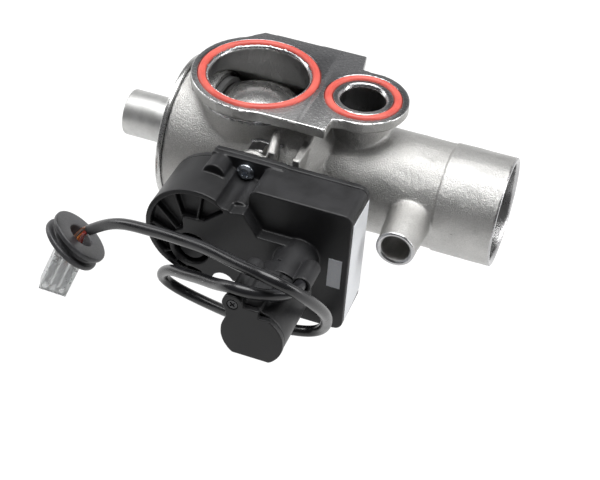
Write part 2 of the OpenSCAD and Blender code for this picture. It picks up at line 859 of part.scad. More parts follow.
module board_parts() color(label_white) at_ball() {
    translate([46, -board_front - 7, -29]) cube([9, 7, 6]);
    toward_drive(37, -23, board_front, board_front + 8, 3);
    translate([41, -board_front - 4, -30]) cube([4, 4, 7]);
}

module end_switch(back) {
    difference() {
        translate([switch_x, -back - switch_t, -switch_len / 2])
            cube([switch_w, switch_t, switch_len]);
        translate([switch_x + switch_w - plunger_depth - 0.8, -back - switch_t / 2, 0])
            rotate([0, 90, 0]) cylinder(h = plunger_depth + 2, r = plunger_hole_r);
    }
}

module switch_plunger(back) {
    translate([switch_x + switch_w - plunger_depth, -back - switch_t / 2, 0]) rotate([0, 90, 0])
        cylinder(h = plunger_tip_x - switch_x - switch_w + plunger_depth, r = plunger_r);
}

module closed_switch() color(black) at_ball() end_switch(switch_a_back);

module open_switch() color(black) at_ball() end_switch(switch_b_back);

module closed_plunger() color(silicone) at_ball() switch_plunger(switch_a_back);

module open_plunger() color(silicone) at_ball() switch_plunger(switch_b_back);

// ---- Labels ----

module side_label() color(label_white) at_ball() translate([case_right, 0, 0])
    rotate([90, 0, 90]) linear_extrude(label_t) polygon([
        [-63, 21.5], [-42, 20.5], [-42, -30], [-52, -31.5], [-63, -31.5]
    ]);

module front_label() color(label_white) at_ball() translate([58.8, -case_front - label_t, -12.6])
    cube([6, label_t, 15.4]);

// ---- Lead ----

module lead_jacket() color(rubber) at_ball() tube(jacket_points, jacket_d, jacket_sides);

// Puts a piece drawn along Z at the grommet, with Z pointing along the plug
module at_grommet() {
    translate(grommet_place) rotate(grommet_lean) children();
}

module grommet() color(rubber) at_ball() at_grommet() translate([0, 0, -grommet_t / 2])
    difference() {
        union() {
            cylinder(h = grommet_flange_t, r = grommet_r);
            cylinder(h = grommet_t, r = grommet_waist_r);
            translate([0, 0, grommet_t - grommet_flange_t]) cylinder(h = grommet_flange_t, r = grommet_r);
        }
        translate([0, 0, -1]) cylinder(h = grommet_t + 2, r = grommet_hole_r);
    }

// One wire, from inside the jacket's end through the grommet to its terminal
module wire(k) {
    start = jacket_points[len(jacket_points) - 1];
    from_side = [0, wire_spread * cos(120 * k), wire_spread * sin(120 * k)];
    tube([
        start + [0.6, 0, 0.6] + from_side,
        start - [5, -1, 2] + 1.6 * from_side,
        grommet_place - 7 * grommet_axis + 1.8 * from_side,
        grommet_place + plug_pitch / 2 * k * plug_side,
        grommet_place + plug_gap * plug_axis + plug_pitch * k * plug_side,
        grommet_place + terminal_back * plug_axis + plug_pitch * k * plug_side
    ], wire_d, wire_sides);
}

module wire_red() color([0.7, 0.1, 0.1]) at_ball() wire(-1);

module wire_orange() color([0.9, 0.45, 0.1]) at_ball() wire(0);

module wire_brown() color([0.4, 0.2, 0.12]) at_ball() wire(1);

// Puts a piece drawn along Z at the grommet's centre, with Z pointing along the plug
module at_plug() {
    translate(grommet_place) rotate(plug_lean) children();
}

module plug_housing() color(nylon) at_ball() at_plug() difference() {
    union() {
        translate([-plug_w / 2, -plug_d / 2, plug_gap]) cube([plug_w, plug_d, plug_len]);
        translate([-1.5, plug_d / 2 - eps, plug_gap + 6]) cube([3, 1.8, 10]);
    }
    for (k = [-1 : 1]) translate([plug_pitch * k - plug_hole / 2, -plug_hole / 2, plug_gap - 1])
        cube([plug_hole, plug_hole, plug_len + 2]);
}

module plug_terminals() color(zinc) at_ball() at_plug() for (k = [-1 : 1])
    translate([plug_pitch * k - terminal_w / 2, -terminal_w / 2, terminal_back])
        cube([terminal_w, terminal_w, 14]);

valve_body();
end_cap();
cap_seal();
seat_right();
seat_left();
seat_springs();
ball();
stem();
thrust_washer();
stem_bush();
stem_rings();
large_port_ring();
small_port_ring();
gear_case();
back_cover();
output_gear();
switch_cam();
low_idler();
high_idler();
gear_axles();
motor_pinion();
motor_shaft();
motor_can();
motor_sleeve();
motor_cap();
motor_cap_screw();
mount_screws();
cover_screws();
circuit_board();
board_parts();
closed_switch();
open_switch();
closed_plunger();
open_plunger();
side_label();
front_label();
lead_jacket();
wire_red();
wire_orange();
wire_brown();
grommet();
plug_housing();
plug_terminals();
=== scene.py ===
import json
import math

import bmesh
import bpy
import numpy as np
from mathutils import Matrix, Vector
from mathutils.bvhtree import BVHTree

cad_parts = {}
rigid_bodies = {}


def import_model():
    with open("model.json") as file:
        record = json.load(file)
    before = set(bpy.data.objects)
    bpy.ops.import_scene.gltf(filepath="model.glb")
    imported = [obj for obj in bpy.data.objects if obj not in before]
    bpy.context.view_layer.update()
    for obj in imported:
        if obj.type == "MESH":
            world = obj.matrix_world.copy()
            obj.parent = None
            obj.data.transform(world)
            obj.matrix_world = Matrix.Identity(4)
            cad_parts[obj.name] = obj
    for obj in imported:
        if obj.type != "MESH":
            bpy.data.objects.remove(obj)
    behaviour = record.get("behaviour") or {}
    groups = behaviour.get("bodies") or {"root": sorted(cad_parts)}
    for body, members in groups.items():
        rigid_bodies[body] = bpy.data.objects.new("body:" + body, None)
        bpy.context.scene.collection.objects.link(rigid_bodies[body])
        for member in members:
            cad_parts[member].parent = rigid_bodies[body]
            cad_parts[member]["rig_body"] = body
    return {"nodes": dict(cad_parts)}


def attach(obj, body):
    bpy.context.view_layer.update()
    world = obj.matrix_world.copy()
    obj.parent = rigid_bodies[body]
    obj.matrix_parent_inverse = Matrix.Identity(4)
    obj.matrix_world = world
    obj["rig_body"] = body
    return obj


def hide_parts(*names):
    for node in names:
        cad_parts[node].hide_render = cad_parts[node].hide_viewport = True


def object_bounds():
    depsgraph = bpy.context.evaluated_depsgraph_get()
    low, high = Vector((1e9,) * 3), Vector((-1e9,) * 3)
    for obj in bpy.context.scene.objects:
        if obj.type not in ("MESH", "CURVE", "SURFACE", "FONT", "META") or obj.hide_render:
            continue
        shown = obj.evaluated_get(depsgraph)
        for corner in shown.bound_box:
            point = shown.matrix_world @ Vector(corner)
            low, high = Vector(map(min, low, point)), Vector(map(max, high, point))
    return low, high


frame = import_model()
cad_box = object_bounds()
scene = bpy.context.scene
MM = 0.001

# ---------------------------------------------------------------- places, in millimetres
# The frame starts in the middle of the large port, on the flange's sealing face. The ball's centre
# lies straight below it, and the drive leaves the ball toward -Y.
BALL_Z = -40.0
SMALL_PORT = (48.5, 2.0)
LARGE_BORE_R = 22.9
SMALL_BORE_R = 10.4


def mm(x, y, z):
    """A point given from the ball centre in millimetres, in the row frame in metres."""
    return Vector((x, y, z + BALL_Z)) * MM


# ---------------------------------------------------------------- camera
CAMERA_RIGHT = Vector((0.936, 0.346, 0.061))
CAMERA_BACK = Vector((0.228, -0.731, 0.643))
CAMERA_PLACE = Vector((0.1845, -0.5107, 0.3602))
SENSOR_MM = 36.0
LENS_MM = 86.86
NEAREST, FARTHEST = 0.01, 50.0


def make_camera():
    data = bpy.data.cameras.new("camera")
    cam = bpy.data.objects.new("camera", data)
    scene.collection.objects.link(cam)
    back = CAMERA_BACK.normalized()
    right = (CAMERA_RIGHT - CAMERA_RIGHT.dot(back) * back).normalized()
    up = back.cross(right)
    m = Matrix((right, up, back)).transposed().to_4x4()
    m.translation = CAMERA_PLACE
    cam.matrix_world = m
    data.sensor_width = SENSOR_MM
    data.lens = LENS_MM
    data.clip_start, data.clip_end = NEAREST, FARTHEST
    scene.camera = cam


make_camera()

# ---------------------------------------------------------------- lead
# The jacket's route, from the entry boss through one loop to its end near the grommet. Points are
# in millimetres from the ball's centre.
JACKET_D, JACKET_SIDES = 5.0, 20
JACKET = [
    (55.4, -83, 6.5), (55.5, -90, 6.6), (55.4, -95, 7.6), (54, -100, 9.8), (51, -105, 12),
    (47.5, -109.5, 13.6), (43.3, -112.5, 15.6), (38.9, -114, 17.6), (31.8, -113.5, 17.1),
    (24, -105, 8),
    (13, -96, 0), (2, -86, -10), (-8, -77, -18), (-14, -72, -25), (-18, -68, -32),
    (-16, -65, -38), (-7, -65, -41), (3, -67, -41), (16, -73, -37), (28, -79, -32),
    (39, -79, -32), (49, -75, -34), (55, -71, -37), (60, -71, -34), (64, -77, -23),
    (66, -87, -8), (64, -96, 4), (61, -103, 13), (57, -108, 20), (52, -110, 23),
    (45, -109, 24), (37, -106, 22), (29, -102, 20), (21, -98, 18), (12, -94, 16),
    (4, -91, 13), (-4, -88, 11), (-12, -85, 8), (-21, -82, 5), (-30, -79, 2),
    (-40, -75, -5), (-50, -72, -14),
]
WIRE_D, WIRE_SIDES = 1.6, 12
GROMMET = Vector((-59.4, -68, -26.6))
GROMMET_LEAN = (0, 224, 34)
PLUG_LEAN = (0, 202, 21)
PLUG_GAP = 8.5  # from the grommet's middle to the plug's back
PITCH = 4.0  # between the plug's terminals
LINE_STEP = 1.2
LINE_ROUNDS = 60
CURVE_STEP = 0.05
END_INSET, END_SHARE = 0.12, 0.86  # how a cord's ends are rounded, as shares of its radius


def leaned(lean):
    """The turn that OpenSCAD's rotate() gives for these angles."""
    ax, ay, az = (math.radians(a) for a in lean)
    return Matrix.Rotation(az, 3, "Z") @ Matrix.Rotation(ay, 3, "Y") @ Matrix.Rotation(ax, 3, "X")


def new_object(name, verts, faces):
    """A smooth-shaded object that rides the valve's own body."""
    data = bpy.data.meshes.new(name)
    data.from_pydata([tuple(v) for v in verts], [], faces)
    data.update()
    data.polygons.foreach_set("use_smooth", [True] * len(data.polygons))
    obj = bpy.data.objects.new(name, data)
    scene.collection.objects.link(obj)
    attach(obj, "valve")
    return obj


def smooth_line(points):
    """A smooth even line through these points, given and returned as arrays in millimetres."""
    p = np.array(points, float)
    p = np.vstack([2 * p[0] - p[1], p, 2 * p[-1] - p[-2]])
    line = []
    for a, b, c, d in zip(p, p[1:], p[2:], p[3:]):
        for t in np.arange(0, 1, CURVE_STEP):
            bend = 2 * a - 5 * b + 4 * c - d + t * (3 * (b - c) + d - a)
            line.append(b + 0.5 * t * (c - a + t * bend))
    line = np.array(line + [p[-2]])
    length = np.concatenate([[0], np.cumsum(np.linalg.norm(np.diff(line, axis=0), axis=1))])
    even = np.linspace(0, length[-1], int(length[-1] / LINE_STEP) + 2)
    line = np.column_stack([np.interp(even, length, line[:, i]) for i in range(3)])
    for _ in range(LINE_ROUNDS):
        line[1:-1] += 0.5 * ((line[:-2] + line[2:]) / 2 - line[1:-1])
    return line


def flexible(name, points, diameter, sides):
    """A round cord with slightly rounded ends, and the line it follows as points in metres."""
    line = smooth_line(points)
    way = np.gradient(line, axis=0)
    way /= np.linalg.norm(way, axis=1)[:, None]
    across = np.array((0.1, 0.2, 1.0))
    rings = []
    for centre, t in zip(line, way):
        across = across - across.dot(t) * t
        across /= np.linalg.norm(across)
        rings.append((centre, across, np.cross(t, across), diameter / 2))
    for i, sign in ((0, 1), (-1, -1)):
        centre, a, b, r = rings[i]
        inset = (centre + sign * END_INSET * r * way[i], a, b, r)
        rings[i] = (centre, a, b, END_SHARE * r)
        rings.insert(1 if i == 0 else len(rings) - 1, inset)
    verts, faces = [], []
    for centre, a, b, r in rings:
        for k in range(sides):
            angle = 2 * math.pi * k / sides
            verts.append(mm(*(centre + r * (math.cos(angle) * a + math.sin(angle) * b))))
    for i in range(len(rings) - 1):
        for k in range(sides):
            m = (k + 1) % sides
            faces.append((i * sides + k, i * sides + m, (i + 1) * sides + m, (i + 1) * sides + k))
    faces.append(tuple(reversed(range(sides))))
    faces.append(tuple(range((len(rings) - 1) * sides, len(rings) * sides)))
    return new_object(name, verts, faces), [tuple(mm(*p)) for p in line]


lead, lead_line = flexible("lead", JACKET, JACKET_D, JACKET_SIDES)
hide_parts("lead_jacket")

# ---------------------------------------------------------------- meshes
MERGE_M = 1e-6
ROUNDING = 0.6  # each round's share of the way to the neighbours' mean
LEAST_PULL = 0.05
SETTLE_ROUNDS, SETTLE_SHARE = 2, 0.35  # light rounding after a pull
WAVES = 9


def read_points(data):
    """The mesh's points as rows of x, y, z in metres."""
    co = np.zeros(len(data.vertices) * 3)
    data.vertices.foreach_get("co", co)
    return co.reshape(-1, 3)


def write_points(data, co):
    data.vertices.foreach_set("co", np.asarray(co, float).ravel())
    data.update()


def edge_pairs(data):
    """The two point numbers of each edge."""
    pairs = np.zeros(len(data.edges) * 2, int)
    data.edges.foreach_get("vertices", pairs)
    return pairs.reshape(-1, 2)


def averaged(values, pairs, count):
    """Each point's mean over its neighbours."""
    a, b = pairs[:, 0], pairs[:, 1]
    degree = np.maximum(np.bincount(a, minlength=count) + np.bincount(b, minlength=count), 1)
    out = np.empty_like(values)
    for k in range(values.shape[1]):
        out[:, k] = (
            np.bincount(a, values[b, k], count) + np.bincount(b, values[a, k], count)
        ) / degree
    return out


def waves(co, height, size, seed):
    """A smooth unevenness made of a few seeded waves of about this height and size in metres."""
    rng = np.random.default_rng(seed)
    total = np.zeros(len(co))
    for _ in range(WAVES):
        direction = rng.normal(size=3)
        direction /= np.linalg.norm(direction)
        length = size * rng.uniform(0.7, 1.8)
        total += np.sin(co @ direction * 2 * np.pi / length + rng.uniform(0, 2 * np.pi))
    return height * (total / (WAVES / 2))


def pulled(co, source, share):
    """The points moved by this share of their way back onto the CAD node's own surface."""
    tree = BVHTree.FromPolygons(
        [v.co for v in source.data.vertices], [tuple(p.vertices) for p in source.data.polygons]
    )
    out = co.copy()
    for i in np.flatnonzero(share > LEAST_PULL):
        nearest = tree.find_nearest(co[i])[0]
        out[i] += (np.array(nearest) - co[i]) * share[i]
    return out


def refined(node, name, voxel, rounds, softness=None, uneven=None, crisp=None, most_faces=190_000):
    """A fine even skin of a CAD node whose edges and inner corners are rounded.

    voxel is its fineness in millimetres and rounds how often it is rounded. softness gives each
    point's share of the rounding, uneven its bump in metres, and crisp how closely it keeps to the
    CAD surface."""
    source = frame["nodes"][node]
    data = source.data.copy()
    data.name = name
    bm = bmesh.new()
    bm.from_mesh(data)
    bmesh.ops.remove_doubles(bm, verts=bm.verts, dist=MERGE_M)
    bm.to_mesh(data)
    bm.free()
    obj = bpy.data.objects.new(name, data)
    scene.collection.objects.link(obj)
    mod = obj.modifiers.new("even", "REMESH")
    mod.mode = "VOXEL"
    mod.voxel_size = voxel * MM
    apply_modifiers(obj)
    data = obj.data
    co = read_points(data)
    pairs = edge_pairs(data)
    share = np.ones(len(co)) if softness is None else np.clip(softness(co), 0, 1)
    share = share[:, None] * ROUNDING
    for _ in range(rounds):
        co = co + (averaged(co, pairs, len(co)) - co) * share
    if crisp is not None:
        co = pulled(co, source, crisp(co))
        for _ in range(SETTLE_ROUNDS):
            co = co + (averaged(co, pairs, len(co)) - co) * SETTLE_SHARE
    write_points(data, co)
    if uneven is not None:
        normals = np.zeros(len(co) * 3)
        data.vertices.foreach_get("normal", normals)
        co = co + normals.reshape(-1, 3) * uneven(co)[:, None]
        write_points(data, co)
    triangles = 2 * len(data.polygons)
    if triangles > most_faces:
        mod = obj.modifiers.new("fewer", "DECIMATE")
        mod.ratio = most_faces / triangles
        apply_modifiers(obj)
    data = obj.data
    data.polygons.foreach_set("use_smooth", [True] * len(data.polygons))
    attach(obj, source["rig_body"])
    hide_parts(node)
    return obj


def apply_modifiers(obj):
    """Swaps the object's mesh for the one its modifiers make."""
    dg = bpy.context.evaluated_depsgraph_get()
    made = bpy.data.meshes.new_from_object(obj.evaluated_get(dg))
    obj.modifiers.clear()
    old = obj.data
    obj.data = made
    made.name = obj.name
    bpy.data.meshes.remove(old)


def step(x, low, high):
    """0 below low, 1 above high and smooth between."""
    t = np.clip((x - low) / (high - low), 0, 1)
    return t * t * (3 - 2 * t)


def soft_profile(points, r, parts=4):
    """A closed outline whose corners are rounded to about r."""
    out = []
    n = len(points)
    for i in range(n):
        a, b, c = (np.array(points[j % n], float) for j in (i - 1, i, i + 1))
        to_a, to_c = a - b, c - b
        la, lc = np.linalg.norm(to_a), np.linalg.norm(to_c)
        cut = min(r, 0.45 * la, 0.45 * lc)
        start, end = b + to_a / la * cut, b + to_c / lc * cut
        for k in range(parts + 1):
            t = k / parts
            out.append((1 - t) ** 2 * start + 2 * t * (1 - t) * b + t**2 * end)
    return out


def lathe(name, profile, place, sides):
    """A ring-shaped solid from a closed outline of (along, radius), turned about place's Z axis."""
    verts, faces = [], []
    n = len(profile)
    for k in range(sides):
        a = 2 * math.pi * k / sides
        for along, radius in profile:
            verts.append(place @ (Vector((radius * math.cos(a), radius * math.sin(a), along)) * MM))
        for i in range(n):
            j = (i + 1) % n
            m = (k + 1) % sides
            faces.append((k * n + i, m * n + i, m * n + j, k * n + j))
    return new_object(name, verts, faces)


def placed(origin, lean=(0, 0, 0)):
    """The place of a turned piece whose origin is given from the ball's centre in millimetres."""
    m = leaned(lean).to_4x4()
    m.translation = mm(*origin)
    return m


# ---------------------------------------------------------------- material kit
NOISE_LOW, NOISE_HIGH = 0.3, 0.7  # where most of a noise texture's values lie
COLOUR_A, COLOUR_OUT = 6, 2  # a Mix node's first colour input, and its colour output
WANDER = 6.0  # how far turning lines stray, in radians


class Patterns:
    """Shader nodes in one tree, laid out in one set of coordinates."""

    def __init__(self, tree, coords):
        self.tree = tree
        self.coords = tree.nodes.new("ShaderNodeTexCoord").outputs[coords]

    def link(self, a, b):
        self.tree.links.new(a, b)

    def noise(self, size_mm, detail=3.0, rough=0.55, stretch=None):
        """A noise of this size in millimetres. A low number in stretch makes it long that way."""
        coords = self.coords
        if stretch:
            scale = self.tree.nodes.new("ShaderNodeVectorMath")
            scale.operation = "MULTIPLY"
            scale.inputs[1].default_value = stretch
            self.link(coords, scale.inputs[0])
            coords = scale.outputs[0]
        node = self.tree.nodes.new("ShaderNodeTexNoise")
        node.inputs["Scale"].default_value = 1000.0 / size_mm
        node.inputs["Detail"].default_value = detail
        node.inputs["Roughness"].default_value = rough
        self.link(coords, node.inputs["Vector"])
        return node.outputs["Fac"]

    def math(self, operation, a, b=0.0):
        """One sum on sockets or numbers."""
        node = self.tree.nodes.new("ShaderNodeMath")
        node.operation = operation
        for socket, value in zip(node.inputs, (a, b)):
            if isinstance(value, (int, float)):
                socket.default_value = value
            else:
                self.link(value, socket)
        return node.outputs[0]

    def spread(self, value, low, high, to_low=0.0, to_high=1.0):
        """The value's range from low to high, laid smoothly over another range."""
        node = self.tree.nodes.new("ShaderNodeMapRange")
        node.interpolation_type = "SMOOTHSTEP"
        ends = {"From Min": low, "From Max": high, "To Min": to_low, "To Max": to_high}
        for key, end in ends.items():
            node.inputs[key].default_value = end
        self.link(value, node.inputs["Value"])
        return node.outputs["Result"]

    def patchy(self, noise, to_low=0.0, to_high=1.0):
        """The middle of a noise's range, laid over another range."""
        return self.spread(noise, NOISE_LOW, NOISE_HIGH, to_low, to_high)

    def mixed(self, factor, a, b):
        """Colour a where factor is 0 and colour b where it is 1."""
        node = self.tree.nodes.new("ShaderNodeMix")
        node.data_type = "RGBA"
        self.link(factor, node.inputs["Factor"])
        for socket, value in zip(node.inputs[COLOUR_A : COLOUR_A + 2], (a, b)):
            if isinstance(value, tuple):
                socket.default_value = (*value, 1)
            else:
                self.link(value, socket)
        return node.outputs[COLOUR_OUT]

    def mixed_value(self, factor, a, b):
        """a where factor is 0 and b where it is 1."""
        difference = self.math("SUBTRACT", b, a)
        return self.math("ADD", a, self.math("MULTIPLY", factor, difference))

    def part(self, index, origin=(0, 0, 0)):
        """One coordinate, in metres, from an origin in metres."""
        node = self.tree.nodes.new("ShaderNodeSeparateXYZ")
        self.link(self.coords, node.inputs[0])
        return self.math("SUBTRACT", node.outputs[index], origin[index])

    def distance(self, first, second, origin):
        """Distance from an axis through origin, across the two named coordinates."""
        a = self.part(first, origin)
        b = self.part(second, origin)
        squares = (self.math("MULTIPLY", a, a), self.math("MULTIPLY", b, b))
        return self.math("SQRT", self.math("ADD", *squares))

    def grooves(self, distance, pitch_mm, wander):
        """Fine turning lines at this pitch, in -1..1."""
        phase = self.math("MULTIPLY", distance, 2 * math.pi * 1000.0 / pitch_mm)
        return self.math("SINE", self.math("ADD", phase, self.math("MULTIPLY", wander, WANDER)))

    def attribute(self, name):
        """A mask stored on the mesh."""
        node = self.tree.nodes.new("ShaderNodeAttribute")
        node.attribute_name = name
        return node.outputs["Fac"]


class Finish(Patterns):
    """A procedural material. Patterns are laid out in the frame's own metres."""

    def __init__(self, name, colour, roughness=0.5, metallic=0.0):
        self.mat = bpy.data.materials.new(name)
        self.mat.use_nodes = True
        super().__init__(self.mat.node_tree, "Object")
        self.shader = self.tree.nodes["Principled BSDF"]
        self.shader.inputs["Base Color"].default_value = (*colour, 1)
        self.shader.inputs["Roughness"].default_value = roughness
        self.shader.inputs["Metallic"].default_value = metallic

    def set(self, **values):
        for key, value in values.items():
            self.shader.inputs[key.replace("_", " ")].default_value = value

    def colour(self, socket):
        self.link(socket, self.shader.inputs["Base Color"])

    def roughness(self, socket):
        self.link(socket, self.shader.inputs["Roughness"])

    def bump(self, height, depth_mm, strength):
        """Adds a bump on top of those already there."""
        node = self.tree.nodes.new("ShaderNodeBump")
        node.inputs["Distance"].default_value = depth_mm * MM
        node.inputs["Strength"].default_value = strength
        self.link(height, node.inputs["Height"])
        if self.shader.inputs["Normal"].is_linked:
            self.link(self.shader.inputs["Normal"].links[0].from_socket, node.inputs["Normal"])
        self.link(node.outputs[0], self.shader.inputs["Normal"])


def paint(obj, finish):
    """Gives a visual piece its one finish."""
    obj.data.materials.clear()
    obj.data.materials.append(finish.mat)


def paint_node(node, finish):
    """Gives a CAD node that stays its own finish."""
    obj = frame["nodes"][node]
    if not obj.data.materials:
        obj.data.materials.append(finish.mat)
    for i in range(len(obj.data.materials)):
        obj.data.materials[i] = finish.mat


def mask(obj, name, values):
    """A smooth per-point mask that the material reads."""
    layer = obj.data.attributes.new(name, "FLOAT", "POINT")
    layer.data.foreach_set("value", np.asarray(values, np.float32))


# ---------------------------------------------------------------- finishes
LINE_PITCH = 0.5  # of fine turning lines
BROAD_PITCH = 2.3
CAP_PITCH = 0.45
PORTS_MEET_X = (0.027, 0.030)  # turning lines left of it circle the large port, in metres
FRONT_HIGHLIGHT_Y = (-0.036, 0.012)  # a painted highlight on the sealing face fades from its front edge to here, in metres
SPIGOT_R = (0.0122, 0.0132)  # the spigot's cast skin ends here, in metres


def cast_steel():
    """Cast skin, brighter where the mask "machined" is 1, with painted shade that darkens the
    ports' bores.
    """
    f = Finish("cast_steel", (0.5, 0.48, 0.46), 0.45, 1.0)
    cut = f.attribute("machined")
    broad = f.noise(9, 3)
    grain = f.noise(0.55, 4, 0.7)
    tone = f.math("ADD", f.math("MULTIPLY", broad, 0.3), f.math("MULTIPLY", grain, 0.7))
    rough_cast = f.mixed(f.patchy(tone), (0.36, 0.355, 0.345), (0.54, 0.535, 0.52))
    streak = f.noise(5, 3, 0.5)
    bright_cut = f.mixed(f.patchy(streak), (0.38, 0.38, 0.385), (0.46, 0.46, 0.465))
    lit = f.mixed(cut, rough_cast, bright_cut)
    # painted shade: the bores' walls are coloured near black where the light hardly reaches them
    f.colour(f.mixed(f.attribute("painted_bore_shade"), lit, (0.13, 0.13, 0.13)))
    cast_rough = f.spread(grain, 0.25, 0.75, 0.36, 0.45)
    cut_rough = f.patchy(streak, 0.19, 0.24)
    f.roughness(f.mixed_value(cut, cast_rough, cut_rough))
    uncut = f.math("SUBTRACT", 1.0, cut)
    f.bump(f.math("MULTIPLY", grain, uncut), 0.26, 0.9)
    f.bump(f.math("MULTIPLY", f.noise(1.1, 4, 0.7), uncut), 0.22, 0.7)
    lines = f.grooves(f.part(0), LINE_PITCH, f.noise(14, 2))
    f.bump(f.math("MULTIPLY", lines, cut), 0.012, 0.6)
    return f


def faced_steel():
    """The flange's sealing face, with the turning lines of both ports and a painted highlight that
    makes it brighter toward its front edge.
    """
    f = Finish("faced_steel", (0.45, 0.45, 0.455), 0.24, 1.0)
    wander = f.noise(14, 2)
    around_large = f.distance(0, 1, (0, 0, 0))
    around_small = f.distance(0, 1, (SMALL_PORT[0] * MM, SMALL_PORT[1] * MM, 0))
    near_small = f.spread(f.part(0), *PORTS_MEET_X)
    distance = f.mixed_value(near_small, around_large, around_small)
    fine = f.grooves(distance, LINE_PITCH, wander)
    broad = f.grooves(distance, BROAD_PITCH, wander)
    # painted highlight: the face is coloured bright at its front edge and dark toward the back
    painted_front_highlight = f.spread(f.part(1), *FRONT_HIGHLIGHT_Y, 1.0, 0.0)
    lines = f.math("ADD", painted_front_highlight, f.math("MULTIPLY", fine, 0.08))
    highlight_and_bands = f.math("ADD", f.math("MULTIPLY", broad, 0.10), lines)
    # the dark and bright tones of the painted highlight, with the turning bands on top
    f.colour(f.mixed(f.spread(highlight_and_bands, -0.1, 1.0), (0.26, 0.262, 0.27), (0.68, 0.68, 0.675)))
    scratches = f.spread(f.noise(0.9, 5, 0.75, stretch=(0.25, 1.6, 1)), 0.5, 0.75, 0.22, 0.38)
    f.roughness(scratches)
    f.bump(fine, 0.02, 0.8)
    f.bump(f.noise(0.7, 3), 0.012, 0.4)
    return f


def turned_steel():
    """The end cap's metal: turned, with a cast-looking skin on its spigot."""
    f = Finish("turned_steel", (0.62, 0.62, 0.61), 0.25, 1.0)
    wander = f.noise(11, 2)
    grain = f.noise(0.5, 3)
    outside = f.spread(f.distance(1, 2, (0, 0, BALL_Z * MM)), *SPIGOT_R)
    f.colour(f.mixed(f.patchy(f.noise(5, 3)), (0.50, 0.50, 0.49), (0.60, 0.60, 0.59)))
    spigot_rough = f.patchy(grain, 0.42, 0.52)
    f.roughness(f.mixed_value(outside, spigot_rough, f.patchy(grain, 0.24, 0.32)))
    f.bump(f.math("MULTIPLY", f.grooves(f.part(0), CAP_PITCH, wander), outside), 0.01, 0.5)
    f.bump(f.noise(0.9, 3), 0.06, 0.4)
    return f


def polished(name, colour, roughness):
    """A smooth metal with faint smears."""
    f = Finish(name, colour, roughness, 1.0)
    smear = f.noise(6, 4)
    f.roughness(f.patchy(smear, roughness * 0.95, roughness * 1.1))
    f.bump(f.noise(0.8, 2, stretch=(1, 6, 1)), 0.002, 0.3)
    f.colour(f.mixed(f.patchy(smear), tuple(0.93 * c for c in colour), colour))
    return f


def moulded(name, dark, light, roughness=(0.42, 0.62), grain_mm=0.35, depth=0.03, level=0.5):
    """A dull moulded plastic or rubber with a fine grain and a slightly uneven tone."""
    f = Finish(name, light, roughness[0])
    grain = f.noise(grain_mm, 3, 0.6)
    broad = f.noise(14, 4)
    tone = f.math("ADD", f.math("MULTIPLY", broad, 0.65), f.math("MULTIPLY", grain, 0.35))
    f.colour(f.mixed(f.spread(tone, 0.35, 0.65), dark, light))
    f.roughness(f.patchy(broad, *roughness))
    f.bump(grain, depth, 0.6)
    f.bump(f.noise(5, 2), 0.06, 0.15)
    f.set(Specular_IOR_Level=level)
    return f


def silicone():
    """The port rings' red rubber, which lets a little light in."""
    f = moulded("red_silicone", (0.44, 0.055, 0.040), (0.60, 0.105, 0.078), (0.42, 0.56), 0.5, 0.02)
    f.set(Subsurface_Weight=0.12, Subsurface_Radius=(0.004, 0.0015, 0.001), Subsurface_Scale=0.5)
    return f


def label_paper():
    """Blank label stock."""
    f = Finish("label_paper", (0.92, 0.94, 0.97), 0.35)
    fibre = f.noise(0.8, 4)
    f.colour(f.mixed(f.patchy(fibre), (0.88, 0.91, 0.95), (0.95, 0.96, 0.98)))
    f.bump(fibre, 0.01, 0.3)
    f.roughness(f.patchy(f.noise(6, 2), 0.3, 0.42))
    return f


def nylon():
    """The plug's natural, half-clear nylon."""
    f = Finish("clear_nylon", (0.86, 0.88, 0.88), 0.32)
    cloud = f.noise(4, 3)
    f.colour(f.mixed(f.patchy(cloud), (0.88, 0.895, 0.89), (0.96, 0.97, 0.965)))
    f.roughness(f.patchy(cloud, 0.26, 0.4))
    f.bump(f.noise(0.5, 2), 0.01, 0.3)
    f.set(Transmission_Weight=0.6, IOR=1.45)
    return f


# polished: name, colour and roughness. moulded: name, dark tone, light tone, range of roughness,
# size and depth of the grain in millimetres, and specular level.
BODY_STEEL = cast_steel()
FACED_STEEL = faced_steel()
TURNED = turned_steel()
POLISH = polished("polished_ball", (0.66, 0.655, 0.64), 0.26)
PIN = polished("bright_pin", (0.66, 0.66, 0.66), 0.22)
ZINC = polished("zinc_steel", (0.66, 0.71, 0.78), 0.24)
BRASS = polished("brass_pinion", (0.78, 0.58, 0.25), 0.25)
TIN = polished("tinned_terminal", (0.72, 0.72, 0.74), 0.3)
SILICONE = silicone()
RUBBER = moulded("black_rubber", (0.012, 0.012, 0.012), (0.03, 0.03, 0.03), (0.55, 0.75), 0.6, 0.02)
GROMMET_RUBBER = moulded(
    "grommet_rubber", (0.018, 0.018, 0.019), (0.06, 0.06, 0.064), (0.36, 0.5), 0.9, 0.03
)
SEAT = moulded("carbon_ptfe", (0.035, 0.035, 0.035), (0.06, 0.06, 0.06), (0.4, 0.5), 0.8, 0.01)
PTFE = moulded("ptfe", (0.78, 0.78, 0.75), (0.88, 0.88, 0.85), (0.4, 0.5), 0.8, 0.01)
CASE = moulded(
    "case_plastic", (0.011, 0.011, 0.0115), (0.019, 0.019, 0.0205), (0.40, 0.50), 0.4, 0.04, 0.32
)
SLEEVE = moulded(
    "sleeve_plastic", (0.008, 0.008, 0.009), (0.015, 0.015, 0.016), (0.36, 0.46), 0.35, 0.035, 0.32
)
DARK_SCREW = polished("dark_screw", (0.06, 0.06, 0.062), 0.3)
ACETAL = moulded("gear_acetal", (0.74, 0.72, 0.65), (0.84, 0.82, 0.75), (0.3, 0.42), 0.8, 0.01)
CAM = moulded("cam_nylon", (0.78, 0.80, 0.82), (0.88, 0.90, 0.90), (0.32, 0.45), 0.8, 0.01)
